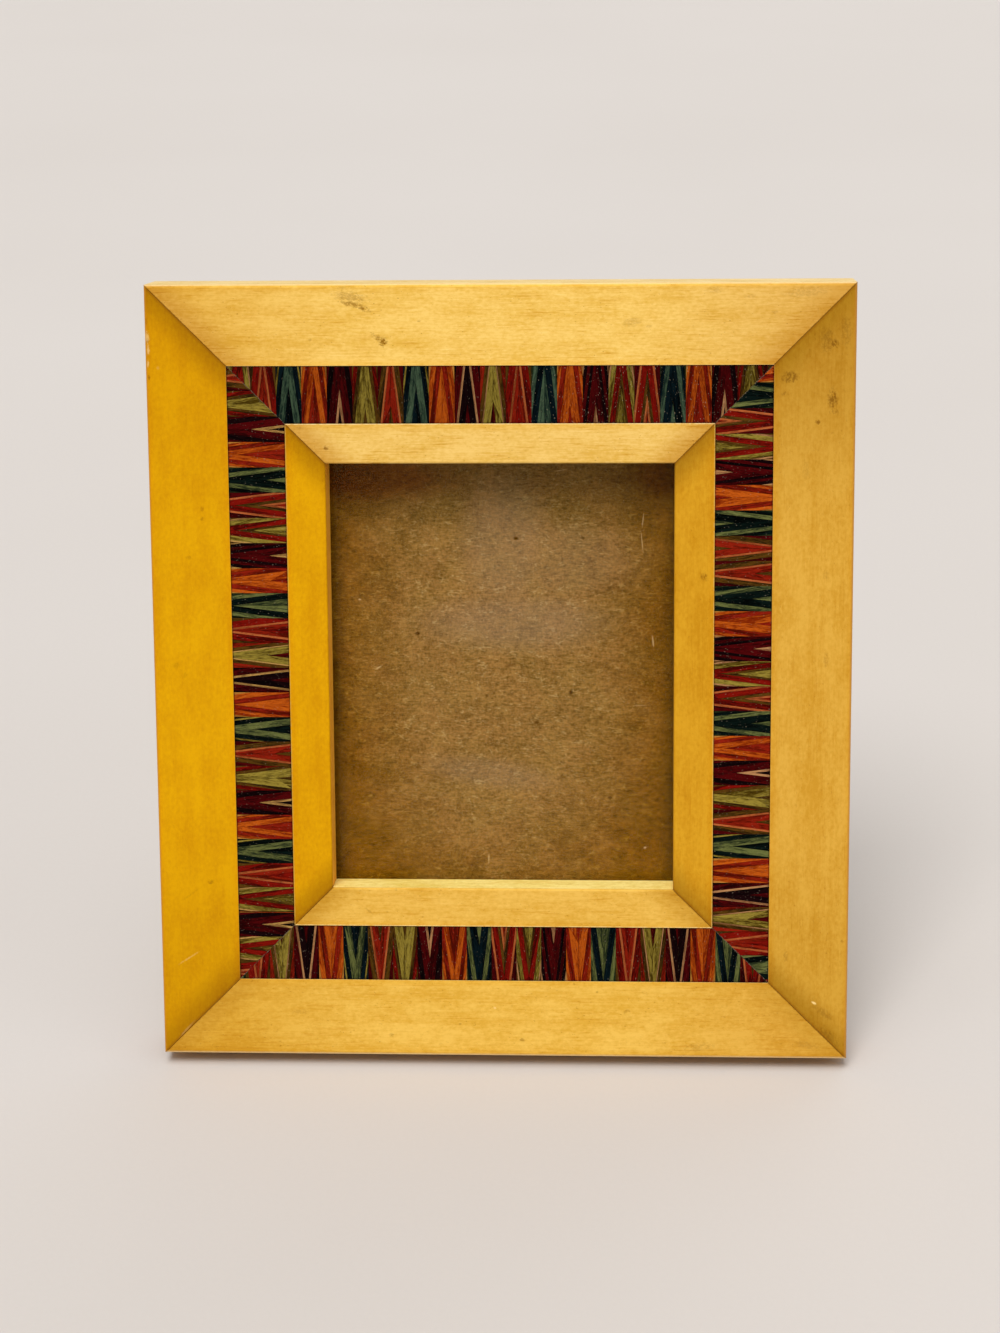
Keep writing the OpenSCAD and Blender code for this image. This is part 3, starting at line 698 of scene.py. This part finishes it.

# %% [markdown]
# ## The dyed veneers
# Each sliver was cut from a sheet of veneer dyed right through, so no two of one dye quite match,
# and their open pores still show as dark and pale flecks. Random Per Island gives each sliver its
# own number. It sets how deep the dye went, and it shifts the grain so that no sliver repeats its
# neighbour's. Dyed wood is dull and deep, so its gloss is set low.

# %% Dyes
# A light and a dark tone of each dye, then the tones that differ in some units or bands. Each
# band's colours are also scaled a little: lighter on the stiles, darker on the top rail.
DYES = {
    "orange": ("#AC4E10", "#6E1E02"),
    "scarlet": ("#7E1A0A", "#460A02"),
    "crimson": ("#720E06", "#380402"),
    "maroon": ("#440406", "#1C0102"),
    "black": ("#0A0608", "#020202"),
    "sage": ("#5E6234", "#1C2414"),
    "olive": ("#86742C", "#3C2C04"),
    "umber": ("#50340C", "#221404"),
    "tan": ("#A4764C", "#6C462A"),
}
UNIT_TONES = {
    "black": {"sage": ("#06120F", "#000202"), "maroon": ("#140406", "#040102")},
    "tan": {"orange": ("#B0742E", "#80501C")},
    "orange": {"scarlet": ("#A4562C", "#743618")},
    "umber": {"sage": ("#1E2814", "#0A0E06")},
}
BAND_TONES = {
    ("sage", None, "top"): ("#42543E", "#12221C"),
    ("tan", None, "left"): ("#AC8446", "#70502A"),
    ("black", "sage", "top"): ("#051419", "#000304"),
    ("black", "sage", "bottom"): ("#051419", "#000304"),
}
BAND_LIGHT = {"top": 0.86, "right": 1.18, "bottom": 0.95, "left": 1.1}
print(len(DYES), "dyes:", ", ".join(DYES))

# %% The veneer finish
# Dust lies in the pores of all bands, and most of it on the far part of the top one.
MEMBER_OF = {"top": "top_rail", "right": "right_stile", "bottom": "bottom_rail", "left": "left_stile"}
DARK_TINT = (0.35, 0.3, 0.3, 1)
PORE_PALE = srgb("#C9B79A")
VENEER_GLOSS = {"Specular_IOR_Level": 0.02, "Specular_Tint": (1, 0.8, 0.6, 1)}
SLIVER_SEEDS = 50
DUSTY_BAND = "top"
DUSTY_FROM = (60, 110)


def tones_of(dye, kind, band):
    """Light and dark tone of a dye in the units of one colour, or in all others for kind None."""
    usual = UNIT_TONES.get(dye, {}).get(kind, DYES[dye])
    return [srgb(tone) for tone in BAND_TONES.get((dye, kind, band), usual)]


def dyed_veneer(dye, band):
    """One dye in one band, with the fibres running along each sliver."""
    material, start = new_finish(f"{dye}_veneer_{band}")
    across, back, up = upright_point(start).parted()
    along = clockwise(band, across, up)
    inward = laid_along(MEMBER_OF[band], across, up)[1] - STRIP_W
    place, turn = zigzag_place(band, along, inward)
    grain = grain_point(start, inward, place, back)
    sliver = start.node("ShaderNodeNewGeometry", out="Random Per Island")
    seed = SLIVER_SEEDS * sliver

    streaks = grain.noise((8, 0.6, 0.6), detail=4, rough=0.65, seed=seed)
    fibres = grain.noise((1.6, 0.25, 0.3), detail=3, rough=0.65, seed=seed + 4)
    depth_of_dye = 0.05 + 0.8 * sliver + 3.8 * (streaks - 0.5) + 2.8 * (fibres - 0.5)
    colour = depth_of_dye.mix(*tones_of(dye, None, band))
    for kind in UNIT_TONES.get(dye, {}):
        colour = in_unit(turn, kind).mix(colour, depth_of_dye.mix(*tones_of(dye, kind, band)))
    colour = colour.scaled(BAND_LIGHT[band])

    pores = grain.noise((1.2, 0.1, 0.3), detail=1, seed=seed).step(0.62, 0.72)
    colour = (0.6 * pores).mix(colour, DARK_TINT, "MULTIPLY")
    # Painted shade: the slivers darken within half a millimetre of the groove's walls.
    by_wall = inward.smaller(INLAY_W - inward).step(0.5, 0.1)
    colour = (0.7 * by_wall).mix(colour, DARK_TINT, "MULTIPLY")
    glue_line = abs(along.smaller(BAND_LEN[band] - along) - inward).step(0.22, 0.06)
    colour = (0.45 * glue_line * streaks.step(0.44, 0.58)).mix(colour, PORE_PALE)
    dust = grain.noise((0.5, 0.3, 0.3), detail=1, seed=seed + 9).step(0.66, 0.78)
    if band == DUSTY_BAND:
        dust = dust * (0.6 + 1.4 * along.step(*DUSTY_FROM))
    colour = (0.22 * dust).mix(colour, PORE_PALE)
    rough = 0.5 + 0.2 * (streaks - 0.5) + 0.2 * dust
    height = streaks + 0.5 * fibres - 1.5 * pores
    end_finish(start, colour, rough, height, relief=0.03, **VENEER_GLOSS)
    return material


for band in STRIPS:
    for dye in DYES:
        dress(dyed_veneer(dye, band), f"{band}_inlay_{dye}")
print(len(STRIPS) * len(DYES), "veneer finishes")

# %% [markdown]
# ## The brown board behind the glass
# No picture is in the frame, so the glass shows a sheet of pressed brown board. Its face is a mat
# of short fibres with dark and pale flecks, a few loose hairs, darker reddish patches in the upper
# corners, and in the middle a painted reflection: a faint greyish haze that the pane lays over it.
# Two layers of short, flat noise make the mat. Single hairs, specks, corner patches and the haze
# are marks like those on the wood, but at the depth of the board.

# %% Marks on the board
# Darker, redder patches in the upper corners.
CORNER_PATCHES = [((372, 478), (46, 13), 0, 0.7), ((664, 476), (16, 12), 0, 0.5)]
HAIRS = [
    ((643, 520), (4, 0.3), 84, 0.6), ((642, 541), (6, 0.3), 96, 0.6),
    ((379, 667), (2, 0.5), 30, 0.8), ((489, 858), (3, 0.35), 88, 0.8),
    ((653, 641), (3.2, 0.4), 96, 0.8), ((561, 470), (3.5, 0.3), 10, 0.4),
    ((639, 705), (4, 0.3), 2, 0.4), ((360, 599), (0.8, 0.5), 0, 0.8), ((645, 847), (0.9, 0.6), 20, 0.8),
]
SPECKS = [
    ((516, 538), (1.5, 1.1), 0, 1.0), ((418, 633), (1.5, 1.1), 0, 1.0),
    ((571, 692), (1.2, 1.4), 0, 1.0), ((537, 722), (1.3, 1.0), 0, 0.9),
    ((583, 538), (1.2, 0.9), 0, 0.7), ((400, 750), (0.9, 0.7), 0, 0.6),
    ((610, 588), (1.0, 0.6), 0, 0.6), ((453, 660), (2.6, 1.6), 0, 0.4),
    ((510, 665), (3.4, 1.2), 10, 0.5), ((487, 695), (1.2, 0.9), 0, 0.7),
    ((601, 717), (1.2, 0.8), 0, 0.7), ((653, 555), (1.0, 0.8), 0, 0.7),
    ((610, 797), (1.2, 0.9), 0, 0.7), ((472, 864), (1.1, 0.8), 0, 0.7),
]
# Painted reflection: greyish patches of haze that stand for the pane mirroring the room.
HAZE = [
    ((505, 545), (26, 40), 0, 0.16), ((515, 622), (52, 17), 0, 0.2),
    ((490, 772), (36, 9), -8, 0.14), ((560, 560), (46, 22), 0, 0.1),
]
print(len(CORNER_PATCHES), "stains,", len(HAIRS), "hairs,", len(SPECKS), "specks,", len(HAZE), "patches of haze")

# %% [markdown]
# ## Shade, haze and marks on the board
# The board is darker and more orange round its margin, and the lip keeps its top and its sides in
# shade. The lamps throw part of that shade by themselves. The rest is painted, because the room in
# the photograph was darker than this studio. A greyish haze painted over the middle stands for the
# pane's reflection.

# %% Shade, haze and marks
SIGHT_W = FRAME_W - 2 * MEMBER_W
SIGHT_H = FRAME_H - 2 * MEMBER_W
SIGHT_TOP = FRAME_H - MEMBER_W
MIDDLE_UP = FRAME_H / 2
MARGIN_DARKENING = (0.71, 0.56, 0.04, 1)
MARGIN_REACH = (0.38, 1.1)
LIP_SHADE = (0.68, 0.68, 0.55, 1)
LIP_SHADE_REACH = (26, 10)
CORNER_DARKENING = (0.85, 0.42, 0.05, 1)
HAZE_COLOUR = srgb("#A68C78")


def framed_board(colour, across, up, mat, blotches, fleck, depth):
    """Margin, painted lip shade and pane haze, and marks seen through the glass, over the board."""
    # Darker, more saturated margin towards the sides and the bottom.
    wide = across * (2 / SIGHT_W)
    tall = (MIDDLE_UP - up).larger(0) * (1.5 / SIGHT_H)
    from_middle = (wide * wide + tall * tall).root() + 0.5 * (blotches - 0.5)
    colour = from_middle.step(*MARGIN_REACH).mix(colour, MARGIN_DARKENING, "MULTIPLY")
    shade_from, shade_full = [SIGHT_TOP - reach for reach in LIP_SHADE_REACH]
    by_lip = up.step(shade_from, shade_full).larger(abs(wide).step(0.9, 1))
    colour = by_lip.mix(colour, LIP_SHADE, "MULTIPLY")
    ragged = 0.8 * (mat - 0.5)
    # Painted reflection of the pane, as a greyish haze.
    colour = all_marks(across, up, ragged, HAZE, depth).mix(colour, HAZE_COLOUR)
    colour = all_marks(across, up, ragged, CORNER_PATCHES, depth).mix(colour, CORNER_DARKENING, "MULTIPLY")
    colour = all_marks(across, up, ragged, SPECKS, depth).mix(colour, SCUFF_STAIN, "MULTIPLY")
    return all_marks(across, up, ragged, HAIRS, depth).mix(colour, srgb(fleck))


print(f"the board shows over {SIGHT_W:.1f} x {SIGHT_H:.1f} mm")

# %% Pressed board
HUE_SHIFT = (0.96, 1.0, 0.94, 1)
BOARD_GLOSS = {"Specular_IOR_Level": 0.05, "Specular_Tint": (1, 0.8, 0.5, 1)}


def pressed_board(name, light, dark, fleck, depth=None):
    """Board of short fibres. With a depth it also gets the marks that show through the glass."""
    material, start = new_finish(name)
    point = upright_point(start)
    across, back, up = point.parted()
    mat = point.noise((1.9, 0.6, 0.5), detail=4, rough=0.7)
    cross_mat = point.noise((0.6, 0.6, 0.9), detail=3, rough=0.7, seed=5.0)
    blotches = point.noise((9, 9, 7), detail=4, rough=0.6, seed=2.0)
    tone = 0.5 + 2.3 * (mat - 0.5) + 1.8 * (cross_mat - 0.5) + 0.8 * (blotches - 0.5)
    colour = tone.mix(srgb(light), srgb(dark))
    hues = point.noise((11, 11, 11), detail=2, seed=8.0).step(0.4, 0.6)
    colour = hues.mix(colour, HUE_SHIFT, "MULTIPLY")
    threads = abs(point.noise((4.2, 1, 1.5), detail=2, seed=3.0) - 0.5).step(0.024, 0.0)
    threads = threads * point.noise((2.6, 1, 1.8), seed=6.0).step(0.46, 0.58)
    colour = (0.5 * threads).mix(colour, srgb(fleck))
    dark_flecks = point.noise((0.7, 0.5, 0.5), detail=1, seed=11.0).step(0.66, 0.76)
    pale_flecks = point.noise((0.8, 0.4, 0.4), detail=1, seed=17.0).step(0.68, 0.78)
    colour = (0.55 * dark_flecks).mix(colour, PORE_STAIN, "MULTIPLY")
    colour = (0.35 * pale_flecks).mix(colour, srgb(fleck))
    if depth is not None:
        colour = framed_board(colour, across, up, mat, blotches, fleck, depth)
    rough = 0.7 + 0.3 * (mat - 0.5)
    end_finish(start, colour, rough, mat + cross_mat, relief=0.05, **BOARD_GLOSS)
    return material


dress(pressed_board("brown_board", "#B07E42", "#6C4A1A", "#D2AC72", BOARD_AT), "filler_board")
dress(pressed_board("back_hardboard", "#7A5733", "#50361D", "#A58660"), "back_board", "strut")
print("boards pressed")

# %% [markdown]
# ## Glass
# Real glass bends light, and a renderer that follows every bent path to a lamp is slow and noisy.
# The usual cure is used here: rays that light the board, from a lamp or from the surround, pass
# straight through, and those from the camera meet clear, slightly green glass. The frame stood in
# a dim room, which the pane hardly mirrors, so its gloss is kept low. With full gloss the bright
# surround would veil the board.

# %% Glass
GLASS_IOR = 1.45
GLASS_TINT = (0.965, 0.985, 0.975, 1)
GLASS_GLOSS = (0.2, 0.2, 0.12, 1)
LET_THROUGH = (0.95, 0.97, 0.96, 1)
SMEAR_DEPTH = 0.004


def clear_glass():
    """Clear glass to the camera, and nothing at all to the rays that light the board."""
    material, start = new_finish("clear_glass")
    point = upright_point(start)
    smear = point.noise((30, 30, 18), detail=3)
    bump = start.node("ShaderNodeBump", {}, {"Height": smear, "Distance": SMEAR_DEPTH * MM})
    pane = start.node("ShaderNodeBsdfPrincipled", {}, {
        "Base Color": GLASS_TINT, "Roughness": 0.02 + 0.03 * smear, "IOR": GLASS_IOR,
        "Transmission Weight": 1, "Specular Tint": GLASS_GLOSS, "Normal": bump,
    })
    through = start.node("ShaderNodeBsdfTransparent", {}, {"Color": LET_THROUGH})
    to_lamp = start.node("ShaderNodeLightPath", out="Is Shadow Ray")
    to_surround = start.node("ShaderNodeLightPath", out="Is Diffuse Ray")
    lighting = to_lamp.larger(to_surround)
    both = start.node("ShaderNodeMixShader", {}, {0: lighting, 1: pane, 2: through})
    start.node("ShaderNodeOutputMaterial", {}, {"Surface": both})
    return material


dress(clear_glass(), "glass")
print("glass in place")

# %% [markdown]
# ## Steel and brass
# The hardware is only seen from behind. The steel is cold rolled, with fine lines from the rolls and
# a bloom of tarnish. The turn-buttons are stamped from brass sheet and have gone dull in patches.

# %% Metal finishes
def metal(name, bright, dull, lines, rough):
    """Sheet metal. Lines is the length in mm of the marks that the rolls left."""
    material, start = new_finish(name)
    point = upright_point(start)
    rolled = point.noise((lines, 0.12, 0.12), detail=2)
    tarnish = point.noise((5, 5, 5), detail=5, rough=0.6)
    spots = point.noise((0.5, 0.5, 0.5), detail=2).step(0.66, 0.76)
    colour = tarnish.step(0.3, 0.8).mix(srgb(bright), srgb(dull))
    colour = (0.4 * spots).mix(colour, DARK_TINT, "MULTIPLY")
    roughness = rough + 0.3 * (rolled - 0.5) + 0.2 * tarnish.step(0.45, 0.7) + 0.15 * spots
    end_finish(start, colour, roughness, rolled - 0.5 * spots, relief=0.01, Metallic=1.0)
    return material


STEEL_NODES = ["corner_wedges", "hinge_leaf_back", "hinge_leaf_strut", "hinge_pin"]
STEEL_NODES += ["back_rivets", "strut_rivets", "hanger", "hanger_nails"]
BRASS_NODES = [name for name in frame["nodes"] if "turn_button" in name]
dress(metal("rolled_steel", "#C2C2C0", "#A19D96", 9, 0.3), *STEEL_NODES)
dress(metal("stamped_brass", "#D9B45E", "#9A7A3C", 4, 0.28), *BRASS_NODES)
print(len(STEEL_NODES), "steel nodes and", len(BRASS_NODES), "brass nodes")
